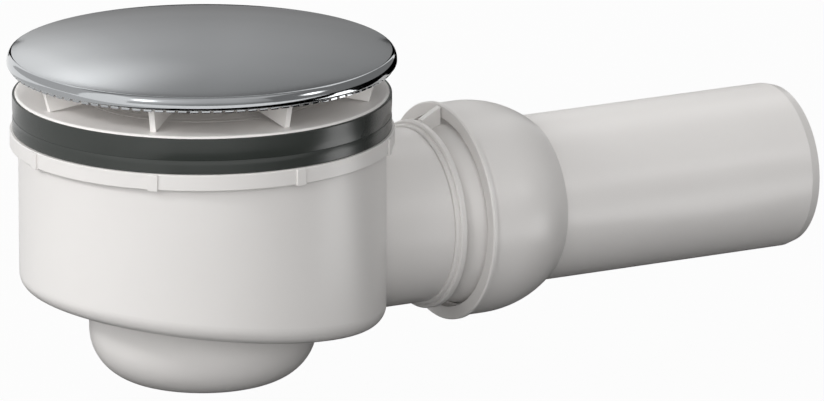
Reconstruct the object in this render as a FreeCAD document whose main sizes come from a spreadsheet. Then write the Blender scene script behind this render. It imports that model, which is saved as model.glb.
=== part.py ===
"""Shower trap: a pot with its water seal, a clamping flange, a domed cover and a ball-jointed outlet.

Millimetres. The origin is on the drain's axis in the plane where the shower tray lies, between the
two rubber rings. +Z is up, +X is the way the outlet leaves. Depths are below the tray.
"""
import FreeCAD, Part
import math
import os
import re

import Sketcher

doc = FreeCAD.newDocument("shower_trap")

# Driving sizes: plain numbers that are set one by one
SIZES = [
    # tray and rubber rings
    ("tray_seal_thick", 4.1, "lower rubber ring, under the tray"),
    ("flange_seal_thick", 4.5, "upper rubber ring, between tray and flange"),
    ("seal_wrap", 0.7, "rubber outside the flange's rim"),
    ("seal_play", 1.2, "clearance between neck and rubber rings"),
    ("seal_edge", 0.4, "rounding of the rubber rings"),
    ("wrap_clear", 0.05, "clearance between the rim and its rubber"),
    # clamping flange
    ("neck_radius", 44.0, "neck that passes the 90 mm hole of the tray"),
    ("neck_wall", 2.5, "wall of the neck"),
    ("neck_depth", 16.0, "end of the neck"),
    ("flange_width", 11.3, "width of the flange outside its neck"),
    ("flange_rim_thick", 2.6, "thickness of the rim"),
    ("flange_dish", 0.5, "fall of the flange from rim to mouth"),
    ("flange_edge", 1.2, "rounding of the rim"),
    ("plate_thick", 3.6, "thickness of the flange at its mouth"),
    ("sleeve_bore", 33.6, "sleeve that holds the dip tube"),
    ("sleeve_wall", 2.4, "wall of the sleeve"),
    ("sleeve_depth", 12.0, "end of the sleeve"),
    ("shelf_width", 2.6, "shelf around the sleeve"),
    ("shelf_fall", 2.0, "shelf below the flange's mouth"),
    # ring that closes the pot
    ("thread_clear", 0.3, "clearance between neck and threaded collar"),
    ("collar_wall", 3.0, "wall of the threaded collar"),
    ("collar_depth", 20.0, "end of the threaded collar"),
    ("deck_thick", 3.0, "deck under the lower rubber ring"),
    ("spigot_gap", 2.0, "space between collar and locating ring"),
    ("spigot_wall", 2.0, "wall of the locating ring"),
    ("spigot_length", 4.0, "length of the locating ring inside the pot"),
    ("spigot_clear", 0.4, "clearance between locating ring and pot"),
    ("band_clear", 0.2, "clearance between pot and band"),
    ("band_wall", 2.3, "wall of the outer band"),
    ("band_length", 4.8, "height of the outer band"),
    ("lug_width", 3.0, "width of a lug on the band"),
    ("lug_proud", 0.5, "height of a lug above the band"),
    ("lug_below", 0.3, "length of a lug below the band"),
    ("lug_root", 1.0, "root of a lug inside the band"),
    ("lug_count", 8, "lugs on the band"),
    ("ring_turn", 1.5, "how far the ring is screwed past the flange's ribs, degrees"),
    # pot
    ("pot_wall", 2.6, "wall of the pot"),
    ("floor_angle", 7.25, "slope of the floor towards the outlet, degrees"),
    ("floor_thick", 2.5, "thickness of the floor"),
    ("floor_round", 5.7, "outside rounding between wall and floor"),
    ("floor_above", 0.7, "floor's low edge above the stub's bottom"),
    ("cup_radius", 33.8, "outside of the cup"),
    ("cup_wall", 2.3, "wall of the cup and of the weir"),
    ("cup_gap", 5.6, "space between dip tube and cup's bottom"),
    ("cup_floor", 2.4, "thickness of the cup's bottom"),
    ("cup_round", 15.0, "outside rounding of the cup's bottom"),
    ("weir_depth", 22.0, "top edge of the weir"),
    ("water_seal", 50.0, "depth of the water seal below the weir"),
    # outlet stub
    ("stub_depth", 40.0, "where the outlet's axis meets the drain's axis"),
    ("outlet_fall", 0.5, "fall of the outlet, degrees"),
    ("stub_radius", 26.3, "outside of the stub"),
    ("stub_wall", 2.8, "wall of the stub"),
    ("stub_length", 16.7, "stub in front of the pot"),
    ("stub_inset", 5.7, "root of the stub inside the pot's bore"),
    ("bore_inset", 3.7, "start of the stub's bore inside the pot's bore"),
    # dip tube
    ("rim_clear", 0.2, "clearance of the dip tube's rim in the flange"),
    ("rim_wall", 3.0, "wall of that rim"),
    ("sleeve_clear", 0.3, "clearance of the dip tube in the sleeve"),
    ("dip_collar_wall", 3.0, "wall of the dip tube's collar"),
    ("dip_collar_depth", 8.0, "end of the collar"),
    ("dip_groove_depth", 4.0, "middle of the sealing ring's groove"),
    ("dip_ring", 1.9, "thickness of the dip tube's sealing ring"),
    ("dip_radius", 23.0, "outside of the tube"),
    ("dip_wall", 1.8, "wall of the tube"),
    # grooves and their rings
    ("ring_clear", 0.1, "clearance of a ring across its groove"),
    ("groove_side", 0.35, "clearance beside a ring in its groove"),
    # hair strainer
    ("strainer_clear", 0.2, "clearance of the strainer in the dip tube"),
    ("strainer_rim", 1.2, "thickness of its rim"),
    ("strainer_rise", 2.5, "height of its middle above the rim"),
    ("strainer_sheet", 1.4, "thickness beside its hub"),
    ("strainer_hub", 2.6, "wall of its hub"),
    ("hub_bore", 5.4, "bore of its hub"),
    ("hub_rise", 1.4, "hub above the strainer"),
    ("hub_depth", 3.0, "end of the hub"),
    ("slot_width", 2.2, "width of a slot"),
    ("slot_inset", 4.5, "start of a slot from the hub"),
    ("slot_margin", 2.8, "end of a slot from the seat"),
    ("slot_count", 20, "slots in the strainer"),
    # domed cover
    ("cover_over", 2.2, "cover wider than the flange"),
    ("cover_gap", 8.0, "gap between flange and cover"),
    ("cover_height", 10.0, "height of the cover"),
    ("cover_edge", 3.7, "height of the cover's edge before it is rounded"),
    ("cover_sheet", 1.2, "thickness of the cover"),
    ("cover_round", 3.0, "rounding between dome and edge"),
    ("lip_round", 0.9, "rounding of the lower edge"),
    ("hem_width", 3.3, "width of the rolled hem"),
    # carrier under the cover
    ("carrier_clear", 0.1, "clearance between cover and carrier"),
    ("carrier_inset", 1.4, "carrier's rim inside the cover's wall"),
    ("carrier_rim", 1.9, "width of the rim that lies on the hem"),
    ("carrier_thick", 2.2, "thickness of the carrier in its middle"),
    ("carrier_gap", 2.1, "space between stem and hub"),
    ("carrier_hub_wall", 1.8, "wall of the hub"),
    ("rib_count", 8, "ribs under the carrier"),
    ("rib_thick", 1.7, "thickness of a rib"),
    ("rib_clear", 0.3, "clearance between a rib and the hem"),
    ("rib_foot_inset", 4.2, "foot of a rib inside the flange's rim"),
    ("rib_rise", 6.0, "rise of a rib's lower edge towards the hub, degrees"),
    ("rib_root", 0.6, "root of a rib inside the carrier"),
    ("foot_clear", 0.05, "clearance under a rib's foot"),
    ("hub_clear", 0.5, "clearance between the carrier's hub and the strainer's"),
    ("stem_clear", 0.3, "clearance of the stem in the strainer's hub"),
    ("stem_depth", 2.0, "end of the stem"),
    ("stem_wall", 1.5, "wall of the stem at its groove"),
    ("plug_height", 3.0, "middle of the plug ring's groove above the tray"),
    ("plug_ring", 1.2, "thickness of the plug ring"),
    # ball and nipple
    ("ball_gap", 19.7, "stub's end to the ball's centre"),
    ("ball_radius", 28.9, "radius of the ball"),
    ("ball_wall", 3.0, "wall of the ball"),
    ("ball_back", 14.0, "ball's end behind its centre"),
    ("nipple_clear", 0.5, "clearance of the nipple in the stub"),
    ("nipple_seal_clear", 0.25, "clearance of its sealing ring in the stub"),
    ("nipple_wall", 2.5, "wall of the nipple"),
    ("nipple_length", 13.0, "nipple inside the stub"),
    ("nipple_groove", 6.0, "middle of the nipple's groove from the stub's end"),
    ("nipple_ring", 1.5, "thickness of the nipple's sealing ring"),
    ("bead_seat", 0.1, "clearance between stub and bead"),
    ("bead_step", 1.0, "lower step of the bead outside the stub"),
    ("bead_step_length", 1.2, "length of that step"),
    ("bead_proud", 2.1, "bead outside the stub"),
    ("bead_length", 3.4, "length of the bead with its step"),
    ("bead_edge", 0.4, "bevel of the bead's edges"),
    ("fin_thick", 2.2, "stop fin on top of the ball"),
    ("fin_step", 0.7, "fin above the bead"),
    ("fin_inset", 0.2, "fin below the socket's edge"),
    ("fin_clear", 0.3, "clearance between fin and socket"),
    ("fin_root", 0.5, "root of the fin inside the bead"),
    # socket and pipe
    ("ball_clear", 0.3, "clearance between ball and socket"),
    ("socket_wall", 1.5, "wall of the socket outside its groove"),
    ("socket_mouth", 10.05, "mouth of the socket before the ball's centre"),
    ("mouth_play", 0.1, "clearance between ball and the socket's mouth"),
    ("mouth_rim", 0.8, "rim around the mouth, outside the socket"),
    ("mouth_rim_length", 1.3, "length of that rim"),
    ("mouth_edge", 0.4, "bevel of its front edge"),
    ("seal_thick", 1.4, "depth of the groove for the ball's seal"),
    ("groove_start", 0.6, "groove's far side before the ball's centre"),
    ("ring_play", 0.3, "clearance of the ball's seal and its snap ring in the groove"),
    ("seal_length", 2.9, "length of the ball's seal"),
    ("retainer_length", 3.1, "length of the snap ring"),
    ("pipe_radius", 25.0, "outside of the pipe, DN 50"),
    ("pipe_wall", 3.0, "wall of the pipe"),
    ("pipe_end", 109.4, "end of the pipe from the ball's centre"),
    ("pipe_bevel", 0.8, "depth of the bevel on the pipe's end"),
    ("pipe_bevel_length", 3.0, "length of that bevel"),
    # cuts
    ("overcut", 1.0, "run of a cut past the face that it opens"),
]

# Sizes that follow from the driving ones
DERIVED = [
    # heights from the tray up
    ("flange_top", "flange_seal_thick + flange_rim_thick"),
    ("mouth_top", "flange_top - flange_dish"),
    ("plate_under", "mouth_top - plate_thick"),
    ("shelf_top", "mouth_top - shelf_fall"),
    ("strainer_low", "mouth_top - strainer_rim"),
    ("strainer_top", "mouth_top + strainer_rise"),
    ("hub_top", "strainer_top + hub_rise"),
    ("cover_lip", "flange_top + cover_gap"),
    ("cover_apex", "cover_lip + cover_height"),
    # depths
    ("deck_top", "-tray_seal_thick"),
    ("pot_top", "deck_top - deck_thick"),
    ("band_low", "deck_top - band_length"),
    ("dip_length", "weir_depth + water_seal"),
    ("cup_inside", "dip_length + cup_gap"),
    ("cup_depth", "cup_inside + cup_floor"),
    # radii from the flange's neck outwards
    ("seal_inside", "neck_radius + seal_play"),
    ("flange_radius", "neck_radius + flange_width"),
    ("seal_radius", "flange_radius + seal_wrap"),
    ("collar_bore", "neck_radius + thread_clear"),
    ("collar_radius", "collar_bore + collar_wall"),
    ("spigot_bore", "collar_radius + spigot_gap"),
    ("spigot_radius", "spigot_bore + spigot_wall"),
    ("pot_bore", "spigot_radius + spigot_clear"),
    ("pot_radius", "pot_bore + pot_wall"),
    ("band_bore", "pot_radius + band_clear"),
    ("band_radius", "band_bore + band_wall"),
    ("lug_radius", "band_radius + lug_proud"),
    # sleeve, dip tube and strainer
    ("sleeve_radius", "sleeve_bore + sleeve_wall"),
    ("mouth_radius", "sleeve_bore + shelf_width"),
    ("rim_radius", "mouth_radius - rim_clear"),
    ("rim_bore", "rim_radius - rim_wall"),
    ("dip_collar", "sleeve_bore - sleeve_clear"),
    ("dip_seat", "dip_collar - dip_collar_wall"),
    ("dip_groove", "sleeve_bore - ring_clear - dip_ring"),
    ("dip_groove_half", "dip_ring / 2 + groove_side"),
    ("dip_bore", "dip_radius - dip_wall"),
    ("funnel_outside", "dip_collar + dip_collar_depth"),
    ("funnel_inside", "funnel_outside - dip_wall * sqrt(2)"),
    ("strainer_radius", "rim_bore - strainer_clear"),
    ("hub_radius", "hub_bore + strainer_hub"),
    ("slot_start", "hub_radius + slot_inset"),
    ("slot_end", "dip_seat - slot_margin"),
    # pot, cup and stub
    ("floor_slope", "tan(floor_angle)"),
    ("floor_edge", "stub_depth + stub_radius - floor_above"),
    ("floor_depth", "floor_edge - pot_radius * floor_slope"),
    ("floor_inside", "floor_depth - floor_thick"),
    ("weir_bore", "cup_radius - cup_wall"),
    ("stub_bore", "stub_radius - stub_wall"),
    ("stub_reach", "pot_radius + stub_length"),
    ("stub_start", "pot_bore - stub_inset"),
    ("bore_start", "pot_bore - bore_inset"),
    # cover and carrier
    ("cover_radius", "flange_radius + cover_over"),
    ("cover_bore", "cover_radius - cover_sheet"),
    ("cover_rise", "cover_height - cover_edge"),
    ("cover_crown", "(cover_radius ^ 2 + cover_rise ^ 2) / (2 * cover_rise)"),
    ("dome_inside", "cover_crown - cover_sheet"),
    ("dome_middle", "cover_apex - cover_crown"),
    ("hem_radius", "cover_radius - hem_width"),
    ("hem_top", "cover_lip + cover_sheet"),
    ("carrier_crown", "dome_inside - carrier_clear"),
    ("carrier_radius", "cover_bore - carrier_inset"),
    ("carrier_flat", "carrier_radius - carrier_rim"),
    ("carrier_low", "hem_top + carrier_clear"),
    ("carrier_middle", "dome_middle + carrier_crown - carrier_thick"),
    ("stem_radius", "hub_bore - stem_clear"),
    ("stem_groove", "hub_bore - ring_clear - plug_ring"),
    ("stem_groove_half", "plug_ring / 2 + groove_side"),
    ("stem_bore", "stem_groove - stem_wall"),
    ("stem_blind", "carrier_middle - carrier_thick"),
    ("carrier_hub_bore", "stem_radius + carrier_gap"),
    ("carrier_hub", "carrier_hub_bore + carrier_hub_wall"),
    ("carrier_hub_low", "hub_top + hub_clear"),
    ("rib_top", "hem_radius - rib_clear"),
    ("rib_head", "carrier_low + rib_root"),
    ("rib_foot", "flange_radius - rib_foot_inset"),
    ("rib_inner", "carrier_hub - carrier_hub_wall / 2"),
    ("flange_slope", "flange_dish / (flange_radius - mouth_radius)"),
    ("foot_low", "mouth_top + flange_slope * (rib_foot - mouth_radius) + foot_clear"),
    ("rib_inner_low", "foot_low + (rib_foot - rib_inner) * tan(rib_rise)"),
    # ball and nipple, along the outlet from the ball's centre
    ("ball_reach", "stub_reach + ball_gap"),
    ("ball_x", "ball_reach * cos(outlet_fall)"),
    ("ball_z", "-stub_depth - ball_reach * sin(outlet_fall)"),
    ("ball_bore", "ball_radius - ball_wall"),
    ("bead_start", "bead_seat - ball_gap"),
    ("bead_face", "bead_length - ball_gap"),
    ("bead_radius", "stub_radius + bead_proud"),
    ("bead_low_radius", "stub_radius + bead_step"),
    ("bead_step_end", "bead_start + bead_step_length"),
    ("nipple_radius", "stub_bore - nipple_clear"),
    ("nipple_bore", "nipple_radius - nipple_wall"),
    ("nipple_end", "-ball_gap - nipple_length"),
    ("nipple_middle", "-ball_gap - nipple_groove"),
    ("nipple_seal", "stub_bore - nipple_seal_clear"),
    ("nipple_root", "nipple_seal - nipple_ring - ring_clear"),
    ("nipple_groove_half", "nipple_ring / 2 + groove_side"),
    ("fin_end", "-socket_mouth - fin_clear"),
    ("fin_high", "rim_outside - mouth_edge - fin_inset"),
    ("fin_low", "bead_radius + fin_step"),
    ("fin_start", "bead_face - fin_root"),
    ("ball_mid", "ball_radius - ball_wall / 2"),
    # socket
    ("socket_ball", "ball_radius + ball_clear"),
    ("mouth_bore", "ball_radius + mouth_play"),
    ("groove_radius", "socket_ball + seal_thick"),
    ("socket_radius", "groove_radius + socket_wall"),
    ("rim_outside", "socket_radius + mouth_rim"),
    ("ring_radius", "groove_radius - ring_play"),
    ("seal_far", "groove_start + ring_clear"),
    ("seal_near", "seal_far + seal_length"),
    ("retainer_far", "seal_near + ring_clear"),
    ("retainer_near", "retainer_far + retainer_length"),
    ("groove_end", "retainer_near + ring_clear"),
    ("pipe_bore", "pipe_radius - pipe_wall"),
]

sheet = doc.addObject("Spreadsheet::Sheet", "dims")
NAMES = [row[0] for row in SIZES + DERIVED]


def on_sheet(expression):
    """The expression with the sheet's name before every size."""
    return re.sub(r"[a-z_]+", lambda m: "dims." + m.group() if m.group() in NAMES else m.group(), expression)


for row, (name, value, note) in enumerate(SIZES, start=1):
    sheet.set("A%d" % row, name)
    sheet.set("B%d" % row, str(value))
    sheet.set("C%d" % row, note)
    sheet.setAlias("B%d" % row, name)
for row, (name, formula) in enumerate(DERIVED, start=len(SIZES) + 1):
    sheet.set("A%d" % row, name)
    sheet.set("B%d" % row, "=" + formula)
    sheet.setAlias("B%d" % row, name)
doc.recompute()


def size(expression):
    """Value of an expression of the sheet's sizes."""
    return float(sheet.evalExpression(on_sheet(expression)))


def bind(thing, prop, expression):
    """Tie a property to the sheet."""
    thing.setExpression(prop, on_sheet(expression))


def new_body(name):
    """An empty body with the node's name."""
    body = doc.addObject("PartDesign::Body", name)
    body.Label = name
    return body


def new_sketch(body, name, role="XZ_Plane"):
    """An empty sketch on one of the body's own origin planes."""
    plane = [feature for feature in body.Origin.OriginFeatures if feature.Role == role][0]
    sketch = body.newObject("Sketcher::SketchObject", name)
    sketch.AttachmentSupport = (plane, [""])
    sketch.MapMode = "FlatFace"
    return sketch


def tie(sketch, kind, expression, *where):
    """Add a constraint whose value is an expression of the sheet's sizes."""
    row = sketch.addConstraint(Sketcher.Constraint(kind, *where, size(expression)))
    bind(sketch, "Constraints[%d]" % row, expression)


def outline(sketch, corners, arcs=None):
    """Closed outline through corners, each a pair of expressions.

    arcs gives the radius of the arc that replaces the side after a corner, and the side on which
    its centre lies: 1 for the left of the way along the outline, -1 for the right.
    """
    arcs = arcs or {}
    points = [FreeCAD.Vector(size(across), size(along), 0) for across, along in corners]
    ends = []
    for number, start in enumerate(points):
        end = points[(number + 1) % len(points)]
        if number not in arcs:
            sketch.addGeometry(Part.LineSegment(start, end))
            ends.append((1, 2))
            continue
        radius, side = size(arcs[number][0]), arcs[number][1]
        chord = end - start
        left = FreeCAD.Vector(-chord.y, chord.x, 0).normalize()
        middle = (start + end) / 2 + left * side * math.sqrt(radius ** 2 - (chord.Length / 2) ** 2)
        first, last = (start, end) if side > 0 else (end, start)
        angles = [math.atan2(point.y - middle.y, point.x - middle.x) for point in (first, last)]
        circle = Part.Circle(middle, FreeCAD.Vector(0, 0, 1), radius)
        sketch.addGeometry(Part.ArcOfCircle(circle, angles[0], angles[1]))
        ends.append((1, 2) if side > 0 else (2, 1))
    for number, (across, along) in enumerate(corners):
        before = number - 1 if number else len(corners) - 1
        sketch.addConstraint(Sketcher.Constraint("Coincident", before, ends[before][1], number, ends[number][0]))
        if across == "0":
            sketch.addConstraint(Sketcher.Constraint("PointOnObject", number, ends[number][0], -2))
        else:
            tie(sketch, "DistanceX", across, -1, 1, number, ends[number][0])
        if along == "0":
            sketch.addConstraint(Sketcher.Constraint("PointOnObject", number, ends[number][0], -1))
        else:
            tie(sketch, "DistanceY", along, -1, 1, number, ends[number][0])
    for number, (radius, side) in arcs.items():
        tie(sketch, "Radius", radius, number)


def turned(body, name, corners, arcs=None):
    """Solid of revolution about the body's Z axis, from an outline in its XZ plane."""
    sketch = new_sketch(body, name + "_outline")
    outline(sketch, corners, arcs)
    solid = body.newObject("PartDesign::Revolution", name)
    solid.Profile = sketch
    solid.ReferenceAxis = (sketch, ["V_Axis"])
    solid.Angle = 360
    doc.recompute()
    return solid


def plate(body, name, corners, thickness):
    """Flat rib on both sides of the body's XZ plane."""
    sketch = new_sketch(body, name + "_outline")
    outline(sketch, corners)
    solid = body.newObject("PartDesign::Pad", name)
    solid.Profile = sketch
    solid.SideType = "Symmetric"
    bind(solid, "Length", thickness)
    doc.recompute()
    return solid


def cut_through(body, name, corners, role):
    """Cut on both sides of an origin plane, through everything."""
    sketch = new_sketch(body, name + "_outline", role)
    outline(sketch, corners)
    before = body.Shape.Volume
    cut = body.newObject("PartDesign::Pocket", name)
    cut.Profile = sketch
    cut.Type = "ThroughAll"
    cut.SideType = "Symmetric"
    doc.recompute()
    if not cut.Shape.Volume < before:
        raise RuntimeError(name + " cuts nothing")
    return cut


def around(body, feature, count):
    """Repeat a feature around the body's Z axis."""
    axis = [thing for thing in body.Origin.OriginFeatures if thing.Role == "Z_Axis"][0]
    pattern = body.newObject("PartDesign::PolarPattern", feature.Name + "_round")
    pattern.Originals = [feature]
    pattern.Axis = (axis, [""])
    pattern.Angle = 360
    bind(pattern, "Occurrences", count)
    body.Tip = pattern
    doc.recompute()
    return pattern


def rounded(body, feature, name, radius, on_edge):
    """Fillet on the edges whose every point passes a test."""
    found = []
    for number, edge in enumerate(feature.Shape.Edges, start=1):
        first, last = edge.ParameterRange
        places = [edge.valueAt(first + (last - first) * step / 4) for step in range(5)]
        if edge.Length > 1 and all(on_edge(place) for place in places):
            found.append("Edge%d" % number)
    if not found:
        raise RuntimeError(name + " has no edge")
    fillet = body.newObject("PartDesign::Fillet", name)
    fillet.Base = (feature, found)
    bind(fillet, "Radius", radius)
    doc.recompute()
    return fillet


def circle_at(radius, height):
    """Test for a point on a circle around the Z axis."""
    across, level = size(radius), size(height)
    return lambda p: abs(math.hypot(p.x, p.y) - across) < 0.01 and abs(p.z - level) < 0.01


def ring(name, mean, thick, height):
    """Round rubber ring around the Z axis."""
    torus = doc.addObject("Part::Torus", name)
    torus.Label = name
    bind(torus, "Radius1", mean)
    bind(torus, "Radius2", thick + " / 2")
    bind(torus, "Placement.Base.z", height)
    return torus


def on_outlet(thing, along="0"):
    """Put a piece on the outlet's axis, its own Z along the outlet, its X down."""
    thing.Placement = FreeCAD.Placement(FreeCAD.Vector(), FreeCAD.Rotation(FreeCAD.Vector(0, 1, 0), 90))
    bind(thing, "Placement.Rotation.Angle", "90 + outlet_fall")
    bind(thing, "Placement.Base.x", "ball_x + (%s) * cos(outlet_fall)" % along)
    bind(thing, "Placement.Base.z", "ball_z - (%s) * sin(outlet_fall)" % along)


# Rubber rings: the upper one is wrapped round the flange's rim
flange_seal = new_body("flange_seal")
solid = turned(flange_seal, "flange_seal_solid", [
    ("seal_inside", "0"), ("seal_radius", "0"), ("seal_radius", "flange_top"),
    ("flange_radius + wrap_clear", "flange_top"), ("flange_radius + wrap_clear", "flange_seal_thick"),
    ("seal_inside", "flange_seal_thick")])
rounded(flange_seal, solid, "flange_seal_edge", "seal_edge", circle_at("seal_radius", "0"))

tray_seal = new_body("tray_seal")
solid = turned(tray_seal, "tray_seal_solid", [
    ("seal_inside", "deck_top"), ("seal_radius", "deck_top"), ("seal_radius", "0"), ("seal_inside", "0")])
upper = rounded(tray_seal, solid, "tray_seal_edge", "seal_edge", circle_at("seal_radius", "0"))
rounded(tray_seal, upper, "tray_seal_low_edge", "seal_edge", circle_at("seal_radius", "deck_top"))

# Clamping flange: dished plate, threaded neck and the sleeve for the dip tube
clamp_flange = new_body("clamp_flange")
solid = turned(clamp_flange, "flange_solid", [
    ("mouth_radius", "mouth_top"), ("flange_radius", "flange_top"), ("flange_radius", "flange_seal_thick"),
    ("neck_radius", "flange_seal_thick"), ("neck_radius", "-neck_depth"),
    ("neck_radius - neck_wall", "-neck_depth"), ("neck_radius - neck_wall", "plate_under"),
    ("sleeve_radius", "plate_under"), ("sleeve_radius", "-sleeve_depth"), ("sleeve_bore", "-sleeve_depth"),
    ("sleeve_bore", "shelf_top"), ("mouth_radius", "shelf_top")])
rounded(clamp_flange, solid, "flange_rim_edge", "flange_edge", circle_at("flange_radius", "flange_top"))

# Dip tube: rim in the flange's mouth, sealed collar, funnel and tube down into the cup
dip_tube = new_body("dip_tube")
turned(dip_tube, "dip_solid", [
    ("rim_bore", "mouth_top"), ("rim_bore", "strainer_low"), ("dip_seat", "strainer_low"),
    ("dip_seat", "dip_seat - funnel_inside"), ("dip_bore", "dip_bore - funnel_inside"),
    ("dip_bore", "-dip_length"), ("dip_radius", "-dip_length"), ("dip_radius", "dip_radius - funnel_outside"),
    ("dip_collar", "-dip_collar_depth"), ("dip_collar", "-dip_groove_depth - dip_groove_half"),
    ("dip_groove", "-dip_groove_depth - dip_groove_half"),
    ("dip_groove", "-dip_groove_depth + dip_groove_half"),
    ("dip_collar", "-dip_groove_depth + dip_groove_half"), ("dip_collar", "shelf_top"),
    ("rim_radius", "shelf_top"), ("rim_radius", "mouth_top")])
ring("dip_tube_oring", "sleeve_bore - (ring_clear + dip_ring) / 2", "dip_ring", "-dip_groove_depth")

# Hair strainer: slotted disc with a hub that takes the cover's stem
hair_strainer = new_body("hair_strainer")
turned(hair_strainer, "strainer_solid", [
    ("hub_bore", "hub_top"), ("hub_bore", "-hub_depth"), ("hub_radius", "-hub_depth"),
    ("hub_radius", "strainer_top - strainer_sheet"), ("dip_seat - strainer_clear", "strainer_low"),
    ("strainer_radius", "strainer_low"), ("strainer_radius", "mouth_top"),
    ("hub_radius", "strainer_top"), ("hub_radius", "hub_top")])
slot = cut_through(hair_strainer, "strainer_slot", [
    ("slot_start", "-slot_width / 2"), ("slot_end", "-slot_width / 2"), ("slot_end", "slot_width / 2"),
    ("slot_start", "slot_width / 2")], "XY_Plane")
around(hair_strainer, slot, "slot_count")

# Domed cover: one sheet, rounded at its edge and turned in below
cover_cap = new_body("cover_cap")
dome_edge = "cover_lip + cover_edge"
dome_corner = "dome_middle + sqrt(dome_inside ^ 2 - cover_bore ^ 2)"
solid = turned(cover_cap, "cover_solid", [
    ("0", "cover_apex"), ("0", "cover_apex - cover_sheet"), ("cover_bore", dome_corner),
    ("cover_bore", "hem_top"), ("hem_radius", "hem_top"), ("hem_radius", "cover_lip"),
    ("cover_radius", "cover_lip"), ("cover_radius", dome_edge)],
    {1: ("dome_inside", -1), 7: ("cover_crown", 1)})
solid = rounded(cover_cap, solid, "cover_shoulder", "cover_round", circle_at("cover_radius", dome_edge))
solid = rounded(cover_cap, solid, "cover_inner_shoulder", "cover_round - cover_sheet",
                circle_at("cover_bore", dome_corner))
rounded(cover_cap, solid, "cover_lip_edge", "lip_round", circle_at("cover_radius", "cover_lip"))

# Carrier: dome under the cover, hub, hollow stem and the ribs that stand on the flange
cover_carrier = new_body("cover_carrier")
turned(cover_carrier, "carrier_solid", [
    ("0", "dome_middle + carrier_crown"), ("0", "stem_blind"), ("stem_bore", "stem_blind"),
    ("stem_bore", "-stem_depth"), ("stem_radius", "-stem_depth"),
    ("stem_radius", "plug_height - stem_groove_half"), ("stem_groove", "plug_height - stem_groove_half"),
    ("stem_groove", "plug_height + stem_groove_half"), ("stem_radius", "plug_height + stem_groove_half"),
    ("stem_radius", "carrier_middle"), ("carrier_hub_bore", "carrier_middle"),
    ("carrier_hub_bore", "carrier_hub_low"), ("carrier_hub", "carrier_hub_low"),
    ("carrier_hub", "carrier_middle"), ("carrier_flat", "carrier_low"), ("carrier_radius", "carrier_low"),
    ("carrier_radius", "dome_middle + sqrt(carrier_crown ^ 2 - carrier_radius ^ 2)")],
    {16: ("carrier_crown", 1)})
rib = plate(cover_carrier, "carrier_rib", [
    ("rib_foot", "foot_low"), ("rib_top", "rib_head"), ("rib_inner", "carrier_middle + rib_root"),
    ("rib_inner", "rib_inner_low")], "rib_thick")
around(cover_carrier, rib, "rib_count")
ring("cover_plug_ring", "hub_bore - (ring_clear + plug_ring) / 2", "plug_ring", "plug_height")

# Body ring: deck, threaded collar, locating ring and the outer band with its lugs
body_ring = new_body("body_ring")
body_ring.Placement = FreeCAD.Placement(FreeCAD.Vector(), FreeCAD.Rotation(FreeCAD.Vector(0, 0, 1), 1))
turned(body_ring, "ring_solid", [
    ("collar_bore", "deck_top"), ("collar_bore", "-collar_depth"), ("collar_radius", "-collar_depth"),
    ("collar_radius", "pot_top"), ("spigot_bore", "pot_top"), ("spigot_bore", "pot_top - spigot_length"),
    ("spigot_radius", "pot_top - spigot_length"), ("spigot_radius", "pot_top"), ("band_bore", "pot_top"),
    ("band_bore", "band_low"), ("band_radius", "band_low"), ("band_radius", "deck_top")])
lug = plate(body_ring, "ring_lug", [
    ("band_radius - lug_root", "band_low - lug_below"), ("lug_radius", "band_low - lug_below"),
    ("lug_radius", "deck_top"), ("band_radius - lug_root", "deck_top")], "lug_width")
around(body_ring, lug, "lug_count")
bind(body_ring, "Placement.Rotation.Angle", "ring_turn")


def drum(name, radius, top, depth, rounding):
    """Upright drum whose end is cut off along the floor's slope and rounded."""
    body = new_body(name)
    wide = "(%s + overcut)" % radius
    deep = "-(%s + %s * floor_slope)" % (depth, wide)
    block = turned(body, name + "_block", [("0", deep), (radius, deep), (radius, top), ("0", top)])
    cut = cut_through(body, name + "_slope", [
        (wide, deep + " - overcut"), (wide, deep), ("-" + wide, "-(%s - %s * floor_slope)" % (depth, wide)),
        ("-" + wide, deep + " - overcut")], "XZ_Plane")
    level, slope, across = size(depth), size("floor_slope"), size(radius)
    rounded(body, cut, name + "_rounding", rounding, lambda p: (
        abs(math.hypot(p.x, p.y) - across) < 0.01 and abs(p.z + level + p.x * slope) < 0.01))
    return body


def branch(name, start, end, radius):
    """Round bar along the outlet's axis."""
    body = new_body(name)
    sketch = new_sketch(body, name + "_outline")
    sketch.AttachmentOffset = FreeCAD.Placement(
        FreeCAD.Vector(), FreeCAD.Rotation(FreeCAD.Vector(0, 0, -1), size("outlet_fall")))
    bind(sketch, "AttachmentOffset.Rotation.Angle", "outlet_fall")
    bind(sketch, "AttachmentOffset.Base.y", "-stub_depth")
    outline(sketch, [(start, "0"), (end, "0"), (end, radius), (start, radius)])
    bar = body.newObject("PartDesign::Revolution", name + "_bar")
    bar.Profile = sketch
    bar.ReferenceAxis = (sketch, ["H_Axis"])
    bar.Angle = 360
    doc.recompute()
    return body


def less(name, base, *tools):
    """What the tools leave of a base."""
    for number, tool in enumerate(tools, start=1):
        rest = doc.addObject("Part::Cut", name if number == len(tools) else "%s_%d" % (name, number))
        rest.Base = base
        rest.Tool = tool
        rest.Refine = False
        base = rest
    base.Label = name


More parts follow.
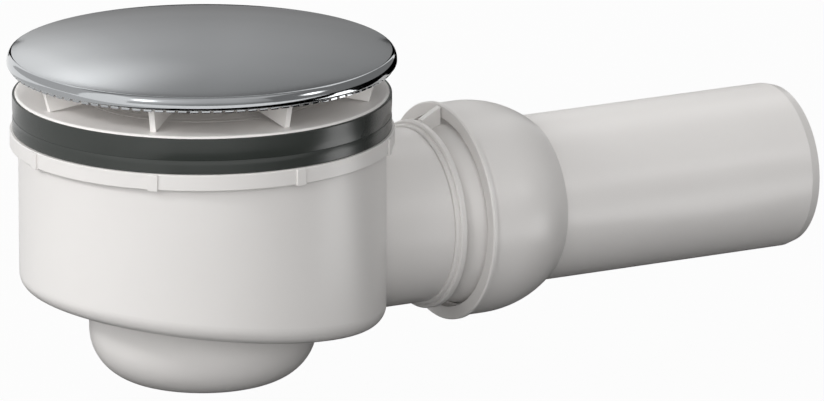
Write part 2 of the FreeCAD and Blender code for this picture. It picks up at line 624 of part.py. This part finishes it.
# Pot, cup and stub are one moulding: the wall with its sloping floor, the cup with the weir above it,
# and the stub that comes out of the wall
pot_outside = drum("pot_outside", "pot_radius", "pot_top", "floor_depth", "floor_round")
pot_inside = drum("pot_inside", "pot_bore", "pot_top + overcut", "floor_inside", "floor_round - pot_wall")
stub_bar = branch("stub_bar", "stub_start", "stub_reach", "stub_radius")
stub_space = branch("stub_space", "bore_start", "stub_reach + overcut", "stub_bore")
cup_hole = doc.addObject("Part::Cylinder", "cup_hole")
bind(cup_hole, "Radius", "cup_radius")
bind(cup_hole, "Height", "cup_depth")
bind(cup_hole, "Placement.Base.z", "-cup_depth")
less("trap_pot", pot_outside, pot_inside, cup_hole, stub_bar)
less("outlet_stub", stub_bar, stub_space, pot_inside)

trap_cup = new_body("trap_cup")
solid = turned(trap_cup, "cup_solid", [
    ("0", "-cup_depth"), ("cup_radius", "-cup_depth"), ("cup_radius", "-weir_depth"),
    ("weir_bore", "-weir_depth"), ("weir_bore", "-cup_inside"), ("0", "-cup_inside")])
solid = rounded(trap_cup, solid, "cup_rounding", "cup_round", circle_at("cup_radius", "-cup_depth"))
rounded(trap_cup, solid, "cup_inner_rounding", "cup_round - cup_floor", circle_at("weir_bore", "-cup_inside"))

# Ball nipple: nipple in the stub, bead, hollow ball and the stop fin on its top
ball_nipple = new_body("ball_nipple")
on_outlet(ball_nipple)
turned(ball_nipple, "ball_solid", [
    ("nipple_bore", "nipple_end"), ("nipple_radius", "nipple_end"),
    ("nipple_radius", "nipple_middle - nipple_groove_half"),
    ("nipple_root", "nipple_middle - nipple_groove_half"),
    ("nipple_root", "nipple_middle + nipple_groove_half"),
    ("nipple_radius", "nipple_middle + nipple_groove_half"),
    ("nipple_radius", "bead_start"), ("bead_low_radius - bead_edge", "bead_start"),
    ("bead_low_radius", "bead_start + bead_edge"), ("bead_low_radius", "bead_step_end"),
    ("bead_radius - bead_edge", "bead_step_end"), ("bead_radius", "bead_step_end + bead_edge"),
    ("bead_radius", "bead_face - bead_edge"), ("bead_radius - bead_edge", "bead_face"),
    ("sqrt(ball_radius ^ 2 - bead_face ^ 2)", "bead_face"),
    ("sqrt(ball_radius ^ 2 - ball_back ^ 2)", "ball_back"),
    ("sqrt(ball_bore ^ 2 - ball_back ^ 2)", "ball_back"),
    ("nipple_bore", "-sqrt(ball_bore ^ 2 - nipple_bore ^ 2)")],
    {14: ("ball_radius", 1), 16: ("ball_bore", -1)})
plate(ball_nipple, "ball_fin", [
    ("-sqrt(ball_mid ^ 2 - fin_start ^ 2)", "fin_start"), ("-fin_low", "fin_start"),
    ("-fin_low", "bead_face"), ("-fin_high", "fin_end"), ("-sqrt(ball_mid ^ 2 - fin_end ^ 2)", "fin_end")],
    "fin_thick")
nipple_oring = ring("nipple_oring", "nipple_seal - nipple_ring / 2", "nipple_ring", "0")
on_outlet(nipple_oring, "nipple_middle")


def groove_ring(name, near, far):
    """Ring in the socket's groove with a spherical inside for the ball."""
    body = new_body(name)
    on_outlet(body)
    turned(body, name + "_solid", [
        ("ring_radius", "-" + near), ("ring_radius", "-" + far),
        ("sqrt(socket_ball ^ 2 - %s ^ 2)" % far, "-" + far),
        ("sqrt(socket_ball ^ 2 - %s ^ 2)" % near, "-" + near)], {2: ("socket_ball", -1)})
    return body


groove_ring("ball_seal", "seal_near", "seal_far")
groove_ring("ball_retainer", "retainer_near", "retainer_far")

# Outlet: the socket around the ball and the pipe, one moulding
outlet_pipe = new_body("outlet_pipe")
on_outlet(outlet_pipe)
turned(outlet_pipe, "pipe_solid", [
    ("mouth_bore", "-socket_mouth"), ("rim_outside - mouth_edge", "-socket_mouth"),
    ("rim_outside", "-socket_mouth + mouth_edge"), ("rim_outside", "-socket_mouth + mouth_rim_length"),
    ("socket_radius", "-socket_mouth + mouth_rim_length"), ("socket_radius", "0"),
    ("pipe_radius", "sqrt(socket_radius ^ 2 - pipe_radius ^ 2)"),
    ("pipe_radius", "pipe_end - pipe_bevel_length"), ("pipe_radius - pipe_bevel", "pipe_end"),
    ("pipe_bore", "pipe_end"), ("pipe_bore", "sqrt(socket_ball ^ 2 - pipe_bore ^ 2)"),
    ("socket_ball", "0"), ("socket_ball", "-groove_start"), ("groove_radius", "-groove_start"),
    ("groove_radius", "-groove_end"), ("mouth_bore", "-groove_end")],
    {5: ("socket_radius", 1), 10: ("socket_ball", -1)})

doc.recompute()

NODES = ["cover_cap", "cover_carrier", "cover_plug_ring", "hair_strainer", "dip_tube", "dip_tube_oring",
         "clamp_flange", "flange_seal", "tray_seal", "body_ring", "trap_pot", "trap_cup", "outlet_stub",
         "ball_nipple", "nipple_oring", "ball_seal", "ball_retainer", "outlet_pipe"]

# Nothing is written unless every feature and every piece is sound
for thing in doc.Objects:
    if "Invalid" in thing.State or "Error" in thing.State:
        raise RuntimeError("%s failed: %s" % (thing.Name, thing.State))
    if thing.TypeId == "Sketcher::SketchObject" and not thing.FullyConstrained:
        raise RuntimeError(thing.Name + " is not fully constrained")
pieces = {name: doc.getObjectsByLabel(name)[0].Shape for name in NODES}
for name, shape in pieces.items():
    if shape.isNull() or not shape.isValid() or len(shape.Solids) != 1:
        raise RuntimeError(name + " is not one valid solid")

os.makedirs("parts", exist_ok=True)
for name, shape in pieces.items():
    shape.exportStep(os.path.join("parts", name + ".step"))
    print("%-18s %9.1f mm3" % (name, shape.Volume))
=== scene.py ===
"""Shower trap on a white ground: chromed cover, clamping flange and rubber rings, pot, ball joint, pipe."""
import math

import bmesh
import bpy
from mathutils import Matrix, Vector


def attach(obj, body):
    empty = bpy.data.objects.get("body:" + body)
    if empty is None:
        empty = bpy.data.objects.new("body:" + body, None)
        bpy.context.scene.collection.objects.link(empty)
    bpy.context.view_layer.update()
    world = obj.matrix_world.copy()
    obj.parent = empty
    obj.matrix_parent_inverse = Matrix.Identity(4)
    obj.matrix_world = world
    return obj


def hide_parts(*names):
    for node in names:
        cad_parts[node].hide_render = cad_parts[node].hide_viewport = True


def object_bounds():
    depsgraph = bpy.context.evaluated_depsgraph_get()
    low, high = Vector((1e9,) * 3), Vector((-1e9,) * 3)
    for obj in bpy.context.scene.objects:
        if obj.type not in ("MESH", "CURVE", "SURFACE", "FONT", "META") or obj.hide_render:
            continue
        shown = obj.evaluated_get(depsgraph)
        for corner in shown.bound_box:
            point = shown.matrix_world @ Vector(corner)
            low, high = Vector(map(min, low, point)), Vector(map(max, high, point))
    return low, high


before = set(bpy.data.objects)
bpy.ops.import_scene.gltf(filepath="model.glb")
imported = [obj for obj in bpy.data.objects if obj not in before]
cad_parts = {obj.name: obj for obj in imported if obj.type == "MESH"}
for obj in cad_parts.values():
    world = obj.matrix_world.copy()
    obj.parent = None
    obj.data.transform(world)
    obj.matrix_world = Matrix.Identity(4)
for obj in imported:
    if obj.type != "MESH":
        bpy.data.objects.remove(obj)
cad_low, cad_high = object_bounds()

# Camera: a long lens 3.1 m away, 15 degrees above the tray's plane. It stands 30 degrees round from
# square on to the outlet, so the pipe leaves to the right and away.
bpy.context.scene.view_settings.view_transform = "Standard"
view_turn = math.radians(-30)
view_rise = math.radians(15)
view_middle = Vector((0.04934, -0.03826, -0.0245))
view_distance = 3.1
toward_camera = Vector((math.sin(view_turn) * math.cos(view_rise),
                        -math.cos(view_turn) * math.cos(view_rise),
                        math.sin(view_rise)))
camera_data = bpy.data.cameras.new("camera")
camera_data.sensor_width = 36
camera_data.lens = 459.8
camera_data.clip_end = 50
camera = bpy.data.objects.new("camera", camera_data)
camera.location = view_middle + toward_camera * view_distance
camera.rotation_mode = "QUATERNION"
camera.rotation_quaternion = (-toward_camera).to_track_quat("-Z", "Y")
bpy.context.collection.objects.link(camera)
bpy.context.scene.camera = camera


# Lamps: soft boxes round the trap, placed as the camera sees them (right, away, up, metres). The small
# one on the left throws the cover's shadow on the flange; mirrored shapes come from the cards below.
studio_turn = Matrix.Rotation(view_turn, 3, "Z")


def soft_box(name, place, aim, size, power):
    """A rectangular lamp that no surface mirrors."""
    lamp_data = bpy.data.lights.new(name, "AREA")
    lamp_data.shape = "RECTANGLE"
    lamp_data.size, lamp_data.size_y = size
    lamp_data.energy = power
    lamp = bpy.data.objects.new(name, lamp_data)
    lamp.location = studio_turn @ Vector(place)
    lamp.rotation_mode = "QUATERNION"
    lamp.rotation_quaternion = (studio_turn @ (Vector(aim) - Vector(place))).to_track_quat("-Z", "Y")
    bpy.context.collection.objects.link(lamp)
    lamp.visible_glossy = False


soft_box("key_box", (-1.34, -0.7, 0.98), (0, 0, 0), (0.3, 0.3), 9.0)
soft_box("left_back_box", (-1.5, 0.5, 0.5), (0, 0, 0), (0.8, 0.8), 6.0)
soft_box("front_left_box", (-1.1, -1.6, 0.9), (0, 0, 0), (0.9, 0.9), 11.0)
soft_box("low_box", (-0.5, -2.0, 0.1), (0.05, 0, 0), (1.2, 0.5), 6.0)
soft_box("front_box", (0.5, -2.0, 0.6), (0.1, 0, 0), (1.2, 1.0), 8.0)
soft_box("right_box", (1.7, -0.6, 0.8), (0.1, 0, 0), (0.8, 0.8), 0.5)
soft_box("back_box", (-0.2, 1.5, 1.1), (0.1, 0, 0), (0.9, 0.7), 13.0)


# World and floor: white to the camera and in reflections, a plain grey light on the object. The floor
# keeps a faint shadow; it lies a little below the cup, so that the pipe clears it when it tilts down.
world_grey = 0.46
floor_grey = 0.2
floor_glow = 0.97
floor_level = cad_low.z - 0.0077


def node_material(name):
    """A new material: itself, its nodes, its links and its shader."""
    material = bpy.data.materials.new(name)
    material.use_nodes = True
    nodes = material.node_tree.nodes
    return material, nodes, material.node_tree.links, nodes["Principled BSDF"]


def calculated(nodes, links, way, one, other):
    """A sum, product or comparison of two values, each a socket or a number."""
    step = nodes.new("ShaderNodeMath")
    step.operation = way
    for place, value in zip(step.inputs, (one, other)):
        if isinstance(value, bpy.types.NodeSocket):
            links.new(value, place)
        else:
            place.default_value = value
    return step.outputs[0]


def mixed(nodes, links, way, factor, one, other):
    """Two colours mixed, each a socket or a grey."""
    mix = nodes.new("ShaderNodeMix")
    mix.data_type = "RGBA"
    mix.blend_type = way
    for place, value in (("Factor", factor), ("A", one), ("B", other)):
        if isinstance(value, bpy.types.NodeSocket):
            links.new(value, mix.inputs[place])
        else:
            mix.inputs[place].default_value = value if place == "Factor" else (value, value, value, 1)
    return mix.outputs["Result"]


def shown_white(nodes, links):
    """1 for what the camera, a mirror or glass sees, 0 for what lights the object."""
    path = nodes.new("ShaderNodeLightPath")
    mirrored = calculated(nodes, links, "MAXIMUM", path.outputs["Is Glossy Ray"],
                          path.outputs["Is Transmission Ray"])
    return calculated(nodes, links, "MAXIMUM", path.outputs["Is Camera Ray"], mirrored)


world = bpy.data.worlds.new("studio")
bpy.context.scene.world = world
world.use_nodes = True
nodes, links = world.node_tree.nodes, world.node_tree.links
shade = mixed(nodes, links, "MIX", shown_white(nodes, links), world_grey, 1)
links.new(shade, nodes["Background"].inputs["Color"])

bm = bmesh.new()
bmesh.ops.create_circle(bm, cap_ends=True, segments=96, radius=14)
bmesh.ops.translate(bm, verts=bm.verts, vec=(0, 0, floor_level))
floor_mesh = bpy.data.meshes.new("floor")
bm.to_mesh(floor_mesh)
bm.free()
floor = bpy.data.objects.new("floor", floor_mesh)
bpy.context.collection.objects.link(floor)
material, nodes, links, shader = node_material("floor_paper")
shader.inputs["Base Color"].default_value = (floor_grey, floor_grey, floor_grey, 1)
shader.inputs["Roughness"].default_value = 0.9
glow = nodes.new("ShaderNodeEmission")
glow.inputs["Color"].default_value = (1, 1, 1, 1)
blend = nodes.new("ShaderNodeMixShader")
links.new(calculated(nodes, links, "MULTIPLY", shown_white(nodes, links), floor_glow), blend.inputs["Fac"])
links.new(shader.outputs["BSDF"], blend.inputs[1])
links.new(glow.outputs[0], blend.inputs[2])
links.new(blend.outputs[0], nodes["Material Output"].inputs["Surface"])
floor_mesh.materials.append(material)


# Reflection cards, seen in reflections alone and placed as the lamps are: papers on the floor, a bright
# strip there for the sheen on the rubber, walls and a ceiling, and behind the trap the sheet that the
# cover mirrors, grey with a bright corner in a black frame.
wall_aside = 2.2
front_away = -2.4
ceiling_height = 3
back_away = 1.3
spot_tone = 8
paper_level = floor_level + 0.0001
strip_level = paper_level + 0.00005


def card(name, corners):
    """A glowing sheet, its first corner at 0, 0 of its own map: its nodes, its links and its glow."""
    bm = bmesh.new()
    face = bm.faces.new([bm.verts.new(studio_turn @ Vector(corner)) for corner in corners])
    sheet = bm.loops.layers.uv.new("across_up")
    for loop, place in zip(face.loops, ((0, 0), (1, 0), (1, 1), (0, 1))):
        loop[sheet].uv = place
    mesh = bpy.data.meshes.new(name)
    bm.to_mesh(mesh)
    bm.free()
    piece = bpy.data.objects.new(name, mesh)
    bpy.context.collection.objects.link(piece)
    piece.visible_camera = piece.visible_diffuse = False
    piece.visible_shadow = piece.visible_transmission = False
    material, nodes, links, shader = node_material(name)
    nodes.remove(shader)
    glow = nodes.new("ShaderNodeEmission")
    links.new(glow.outputs[0], nodes["Material Output"].inputs["Surface"])
    mesh.materials.append(material)
    return nodes, links, glow


def paper(name, left, right, near, far, level, colour):
    """A card of one colour that lies on the floor."""
    nodes, links, glow = card(name, [(left, near, level), (right, near, level),
                                     (right, far, level), (left, far, level)])
    glow.inputs["Color"].default_value = (*colour, 1)


def sheet_place(nodes):
    """Where on its card a point lies, 0 to 1 across (X) and upward (Y)."""
    return nodes.new("ShaderNodeUVMap").outputs["UV"]


def share(nodes, links, place, axis):
    """One part of a place."""
    parts = nodes.new("ShaderNodeSeparateXYZ")
    links.new(place, parts.inputs["Vector"])
    return parts.outputs[axis]


def greys(nodes, links, source, stops):
    """Shades of grey along a value."""
    tone = nodes.new("ShaderNodeValToRGB")
    tone.color_ramp.interpolation = "CARDINAL"
    for number, (place, grey) in enumerate(stops):
        stop = tone.color_ramp.elements[number] if number < 2 else tone.color_ramp.elements.new(place)
        stop.position = place
        stop.color = (grey, grey, grey, 1)
    links.new(source, tone.inputs["Fac"])
    return tone.outputs["Color"]


def oval(nodes, links, place, middle, half, kind):
    """1 in the middle of an oval of the sheet, 0 from its edge on."""
    spot = nodes.new("ShaderNodeMapping")
    spot.inputs["Location"].default_value = (-middle[0] / half[0], -middle[1] / half[1], 0)
    spot.inputs["Scale"].default_value = (1 / half[0], 1 / half[1], 1)
    links.new(place, spot.inputs["Vector"])
    halo = nodes.new("ShaderNodeTexGradient")
    halo.gradient_type = kind
    links.new(spot.outputs["Vector"], halo.inputs["Vector"])
    return halo.outputs["Fac"]


paper("black_paper", -0.09, 3, -0.37, 0.85, paper_level, (0, 0, 0))
paper("far_paper", 0.25, 4, 0.85, 5, paper_level, (0, 0, 0))
paper("grey_paper", -0.25, 0.25, 0.85, 1.3, paper_level, (0.25, 0.25, 0.255))
paper("side_paper", -3, -0.09, -0.37, 0.3, paper_level, (0.6, 0.6, 0.6))
paper("white_strip", 0.2, 0.75, -0.085, 0.04, strip_level, (2.6, 2.6, 2.6))

nodes, links, glow = card("right_card", [
    (wall_aside, front_away, paper_level), (wall_aside, 5, paper_level),
    (wall_aside, 5, ceiling_height), (wall_aside, front_away, ceiling_height)])
place = sheet_place(nodes)
spot = oval(nodes, links, place, (0.22, 0.33), (0.07, 0.15), "QUADRATIC_SPHERE")
links.new(mixed(nodes, links, "MIX", spot, 0.22, spot_tone), glow.inputs["Color"])

nodes, links, glow = card("left_card", [
    (-wall_aside, -0.6, 0.05), (-wall_aside, 3, 0.05),
    (-wall_aside, 3, ceiling_height), (-wall_aside, -0.6, ceiling_height)])
glow.inputs["Color"].default_value = (0.55, 0.55, 0.55, 1)

nodes, links, glow = card("ceiling_card", [
    (-wall_aside, front_away, ceiling_height), (wall_aside, front_away, ceiling_height),
    (wall_aside, back_away, ceiling_height), (-wall_aside, back_away, ceiling_height)])
place = sheet_place(nodes)
shade = greys(nodes, links, share(nodes, links, place, "Y"),
              ((0.0, 0.6), (0.4, 0.55), (0.64, 0.4), (0.8, 0.22), (1.0, 0.2)))
links.new(shade, glow.inputs["Color"])

nodes, links, glow = card("front_card", [
    (-wall_aside, front_away, 0), (wall_aside, front_away, 0),
    (wall_aside, front_away, ceiling_height), (-wall_aside, front_away, ceiling_height)])
place = sheet_place(nodes)
shade = mixed(
    nodes, links, "MULTIPLY", 1,
    greys(nodes, links, share(nodes, links, place, "X"),
          ((0.0, 1.0), (0.25, 0.85), (0.5, 0.6), (0.75, 0.55), (1.0, 0.4))),
    greys(nodes, links, share(nodes, links, place, "Y"),
          ((0.0, 0.5), (0.15, 0.6), (0.3, 0.9), (0.7, 1.0), (1.0, 1.0))))
spot = oval(nodes, links, place, (0.12, 0.5), (0.16, 0.22), "QUADRATIC_SPHERE")
links.new(mixed(nodes, links, "MIX", spot, shade, spot_tone), glow.inputs["Color"])

back_half = 0.5
back_top = paper_level + 2.4
corner_tone = 1.85
nodes, links, glow = card("back_card", [
    (-back_half, back_away, paper_level), (back_half, back_away, paper_level),
    (back_half, back_away, back_top), (-back_half, back_away, back_top)])
place = sheet_place(nodes)
shade = mixed(
    nodes, links, "MULTIPLY", 1,
    greys(nodes, links, share(nodes, links, place, "X"),
          ((0.24, 1.08), (0.28, 0.87), (0.32, 0.72), (0.36, 0.59),
           (0.40, 0.51), (0.46, 0.45), (0.54, 0.425), (0.72, 0.32))),
    greys(nodes, links, share(nodes, links, place, "Y"),
          ((0.0, 0.52), (0.06, 0.66), (0.12, 0.77), (0.18, 0.90),
           (0.26, 1.0), (0.34, 1.0), (0.42, 0.89), (0.48, 0.8))))
corner = oval(nodes, links, place, (0.13, 0.375), (0.38, 0.125), "QUADRATIC_SPHERE")
shade = mixed(nodes, links, "MIX", corner, shade, corner_tone)
window = calculated(nodes, links, "ADD",
                    oval(nodes, links, place, (0.4725, 0.283), (0.262, 0.217), "SPHERICAL"),
                    oval(nodes, links, place, (0.4725, 0.105), (0.18, 0.16), "SPHERICAL"))
inside = calculated(nodes, links, "GREATER_THAN", window, 0)
links.new(mixed(nodes, links, "MIX", inside, 0, shade), glow.inputs["Color"])


# Domed cover: one pressed sheet of chromed metal, 115 mm wide, its edge rounded and turned in below.
# The turned-in edge is crimped into short tabs and holds the white carrier.
MM = 0.001
cover_radius = 57.5
cover_top = 25.1
cover_bottom = 15.1
cover_sheet = 1.2
hem_radius = 54.2
dome_rise = 6.3
block_rounding = 0.12


def arc(middle, radius, first, last, steps):
    """Points of an arc in an outline, angles in degrees from the outline's first axis."""
    angles = [math.radians(first + (last - first) * step / steps) for step in range(steps + 1)]
    return [(middle[0] + radius * math.cos(angle), middle[1] + radius * math.sin(angle)) for angle in angles]


def lathe(outline, rounds=(), steps=240):
    """A closed outline of radii and heights in mm, spun about the Z axis.

    rounds names corners of the outline by number, each with the radius that it gets.
    """
    bm = bmesh.new()
    corners = [bm.verts.new((across * MM, 0, along * MM)) for across, along in outline]
    for one, other in zip(corners, corners[1:] + corners[:1]):
        if one.co.x > 1e-9 or other.co.x > 1e-9:
            bm.edges.new((one, other))
    for number, radius in rounds:
        bmesh.ops.bevel(bm, geom=[corners[number]], offset=radius * MM, offset_type="OFFSET", segments=6,
                        profile=0.5, affect="VERTICES", material=-1)
    bmesh.ops.spin(bm, geom=bm.verts[:] + bm.edges[:], cent=(0, 0, 0), axis=(0, 0, 1), angle=math.tau,
                   steps=steps, use_merge=True)
    bmesh.ops.remove_doubles(bm, verts=bm.verts, dist=1e-7)
    bmesh.ops.recalc_face_normals(bm, faces=bm.faces)
    return bm


def add_blocks(bm, count, first_turn, radius, height, size, segments):
    """Small blocks with rounded edges, spaced evenly round the Z axis; sizes in mm."""
    for number in range(count):
        turn = math.radians(first_turn) + math.tau * number / count
        place = (Matrix.Rotation(turn, 4, "Z") @ Matrix.Translation((radius * MM, 0, height * MM))
                 @ Matrix.Diagonal((size[0] * MM, size[1] * MM, size[2] * MM, 1)))
        block = bmesh.ops.create_cube(bm, size=1, matrix=place)
        edges = dict.fromkeys(edge for corner in block["verts"] for edge in corner.link_edges)
        bmesh.ops.bevel(bm, geom=list(edges), offset=block_rounding * MM, segments=segments, profile=0.5,
                        affect="EDGES", material=-1)


def finished(name, bm, material, node, body):
    """Put a mesh in the scene with smooth faces and sharp corners, in the place of its CAD node."""
    mesh = bpy.data.meshes.new(name)
    bm.to_mesh(mesh)
    bm.free()
    mesh.polygons.foreach_set("use_smooth", [True] * len(mesh.polygons))
    mesh.set_sharp_from_angle(angle=math.radians(32))
    mesh.materials.append(material)
    piece = bpy.data.objects.new(name, mesh)
    bpy.context.collection.objects.link(piece)
    piece.modifiers.new("even_normals", "WEIGHTED_NORMAL").keep_sharp = True
    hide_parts(node)
    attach(piece, body)


def noise(nodes, links, vector, scale, detail):
    """A soft random pattern, from about 0.3 to 0.7."""
    cloud = nodes.new("ShaderNodeTexNoise")
    cloud.inputs["Scale"].default_value = scale
    cloud.inputs["Detail"].default_value = detail
    links.new(vector, cloud.inputs["Vector"])
    return cloud.outputs["Fac"]


def two_tones(nodes, links, source, dark, light, ends, target):
    """A colour between two for a value between two ends."""
    tone = nodes.new("ShaderNodeValToRGB")
    for stop, colour, end in zip(tone.color_ramp.elements, (dark, light), ends):
        stop.position = end
        stop.color = (*colour, 1)
    links.new(source, tone.inputs["Fac"])
    links.new(tone.outputs["Color"], target)


def from_to(nodes, links, source, low, high, target):
    """A value between low and high for a value between 0 and 1."""
    span = nodes.new("ShaderNodeMapRange")
    span.inputs["To Min"].default_value = low
    span.inputs["To Max"].default_value = high
    links.new(source, span.inputs["Value"])
    links.new(span.outputs["Result"], target)


crown = (cover_radius ** 2 + dome_rise ** 2) / (2 * dome_rise)
dome_middle = cover_top - crown
inner_radius = cover_radius - cover_sheet
dome_turn = math.degrees(math.acos(cover_radius / crown))
inner_turn = math.degrees(math.acos(inner_radius / (crown - cover_sheet)))
cover_outline = arc((0, dome_middle), crown, 90, dome_turn, 40)
shoulder = len(cover_outline) - 1
cover_outline += [(cover_radius, cover_bottom), (hem_radius, cover_bottom),
                  (hem_radius, cover_bottom + cover_sheet), (inner_radius, cover_bottom + cover_sheet)]
cover_outline += arc((0, dome_middle), crown - cover_sheet, inner_turn, 90, 24)
cover = lathe(cover_outline, ((shoulder, 2.41), (shoulder + 1, 0.9), (shoulder + 2, 0.25)))
add_blocks(cover, count=104, first_turn=0, radius=56.1, height=14.8, size=(1.1, 2.5, 0.7), segments=2)

chrome, nodes, links, shader = node_material("chrome")
shader.inputs["Metallic"].default_value = 1.0
place = nodes.new("ShaderNodeTexCoord").outputs["Object"]
spots = noise(nodes, links, place, 55, 3)
two_tones(nodes, links, spots, (0.55, 0.57, 0.585), (0.59, 0.605, 0.62), (0, 1), shader.inputs["Base Color"])
from_to(nodes, links, spots, 0.07, 0.11, shader.inputs["Roughness"])
finished("chromed_cover", cover, chrome, "cover_cap", "trap")


# Carrier, strainer and dip tube: glossy white mouldings, a little warm, with the faint orange-peel of a
# moulded face. Carrier and cover lift off together; strainer and tube lift out of the flange.
def add_bump(nodes, links, height, strength, shader):
    """A fine unevenness of the face, 0.2 mm at full strength."""
    bump = nodes.new("ShaderNodeBump")
    bump.inputs["Strength"].default_value = strength
    bump.inputs["Distance"].default_value = 0.2 * MM
    links.new(height, bump.inputs["Height"])
    links.new(bump.outputs["Normal"], shader.inputs["Normal"])


def white_finish(name, lightness):
    """White plastic; its roughness stays over 0.274, where the denoiser's colour pass has a step."""
    material, nodes, links, shader = node_material(name)
    place = nodes.new("ShaderNodeTexCoord").outputs["Object"]
    cloud = noise(nodes, links, place, 38, 2)
    dark, light = ([part * lightness for part in colour]
                   for colour in ((0.800, 0.779, 0.761), (0.812, 0.792, 0.773)))
    two_tones(nodes, links, cloud, dark, light, (0.3, 0.7), shader.inputs["Base Color"])
    from_to(nodes, links, cloud, 0.28, 0.33, shader.inputs["Roughness"])
    add_bump(nodes, links, noise(nodes, links, place, 900, 2), 0.03, shader)
    return material


def dress(node, material):
    """Give a CAD node that stays a finish of its own."""
    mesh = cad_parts[node].data
    mesh.materials.clear()
    mesh.materials.append(material)


# The same white plastic painted 12 percent lighter: painted light that makes up for the cover's shade on the
# carrier, strainer, dip tube and flange.
white_painted_lighter = white_finish("white_plastic_painted_lighter", 1.12)
for node in ("cover_carrier", "hair_strainer", "dip_tube"):
    dress(node, white_painted_lighter)


# Clamping flange: one white moulding. Its rim stands a little above the rubber, its dished plate carries
# the cover's ribs, and its neck is screwed down into the ring on the pot.
rim_radius, rim_top, rim_under = 55.3, 7.1, 4.5
neck_radius, neck_inner, neck_end = 44, 41.5, -16
sleeve_radius, sleeve_inner, sleeve_end = 36, 33.6, -12
seat_radius, seat_level, dish_edge, plate_under = 36.2, 4.6, 6.6, 3
flange = lathe([(seat_radius, dish_edge), (rim_radius, rim_top), (rim_radius, rim_under),
                (neck_radius, rim_under), (neck_radius, neck_end), (neck_inner, neck_end),
                (neck_inner, plate_under), (sleeve_radius, plate_under), (sleeve_radius, sleeve_end),
                (sleeve_inner, sleeve_end), (sleeve_inner, seat_level), (seat_radius, seat_level)],
               ((0, 0.3), (1, 0.9), (2, 0.2), (3, 0.4), (4, 0.4), (5, 0.4), (6, 0.8), (7, 0.8), (8, 0.4),
                (9, 0.4)))
# The flange takes the white that is painted lighter against the cover's shade.
finished("screwed_flange", flange, white_painted_lighter, "clamp_flange", "trap")


# Rubber rings: two dark grey rings that clamp the tray between them, the upper one pulled up over the
# flange's rim. They are soft, so their faces belly a little and meet in a shallow crease.
def rubber_finish(name):
    """Black rubber with fine streaks round it, as an extruded or turned ring has."""
    material, nodes, links, shader = node_material(name)
    place = nodes.new("ShaderNodeTexCoord").outputs["Object"]
    two_tones(nodes, links, noise(nodes, links, place, 60, 5), (0.028, 0.032, 0.029), (0.041, 0.046, 0.042),
              (0, 1), shader.inputs["Base Color"])
    flat = nodes.new("ShaderNodeMapping")
    flat.inputs["Scale"].default_value = (12, 12, 1400)
    links.new(place, flat.inputs["Vector"])
    streaks = noise(nodes, links, flat.outputs["Vector"], 1, 2)
    from_to(nodes, links, streaks, 0.22, 0.27, shader.inputs["Roughness"])
    add_bump(nodes, links, streaks, 0.05, shader)
    shader.inputs["Specular IOR Level"].default_value = 0.6
    return material


rubber = rubber_finish("black_rubber")
rubber_radius, crease_upper, crease_lower = 56, 55.8, 55.88
rubber_inner, lip_inner = 45.2, 55.35
upper_top, lower_under = 6.5, -4.1
upper = lathe([(rubber_inner, 0), (crease_upper, 0), (55.93, 1.1), (rubber_radius, 2.6),
               (rubber_radius, upper_top), (lip_inner, upper_top), (lip_inner, rim_under),
               (rubber_inner, rim_under)],
              ((0, 0.3), (1, 0.05), (2, 0.9), (3, 1.2), (4, 0.3), (7, 0.3)))
finished("upper_rubber_ring", upper, rubber, "flange_seal", "trap")
lower = lathe([(rubber_inner, lower_under), (rubber_radius, lower_under), (rubber_radius, -0.8),
               (crease_lower, 0), (rubber_inner, 0)],
              ((0, 0.3), (1, 0.35), (2, 0.7), (3, 0.05), (4, 0.3)))
finished("lower_rubber_ring", lower, rubber, "tray_seal", "trap")
for node in ("cover_plug_ring", "dip_tube_oring", "nipple_oring", "ball_seal"):
    dress(node, rubber)


# Screwed ring: white moulding that closes the pot. Its inner collar takes the flange's thread, its outer
# band covers the pot's edge and has eight small lugs for a spanner.
collar_inner, collar_radius, collar_end = 44.3, 47.3, -20
rib_inner, rib_radius, rib_end = 49.3, 51.3, -11.1
band_inner, band_radius, band_end, roof_under = 54.5, 56.8, -8.9, -7.1
ring = lathe([(collar_inner, lower_under), (collar_inner, collar_end), (collar_radius, collar_end),
              (collar_radius, roof_under), (rib_inner, roof_under), (rib_inner, rib_end),
              (rib_radius, rib_end), (rib_radius, roof_under), (band_inner, roof_under),
              (band_inner, band_end), (band_radius, band_end), (band_radius, lower_under)],
             ((0, 0.3), (1, 0.3), (2, 0.3), (5, 0.3), (6, 0.3), (10, 0.3), (11, 0.3)))
add_blocks(ring, count=8, first_turn=1.5, radius=56.65, height=-6.75, size=(1.3, 3.0, 4.9), segments=3)
white = white_finish("white_plastic", 1)
finished("screwed_ring", ring, white, "body_ring", "trap")


# Pot, cup and stub: one white moulding with a sloping floor. The cup's wall goes on up inside as the
# weir that keeps the water seal; the stub takes the ball's nipple.
for node in ("trap_pot", "trap_cup", "outlet_stub"):
    dress(node, white)


# Ball joint and outlet: the ball's nipple is plugged into the stub, and the socket with its snap ring and
# rubber seal turns and tilts on the ball. Socket and 50 mm pipe are one white moulding.
for node in ("ball_nipple", "ball_retainer", "outlet_pipe"):
    dress(node, white)
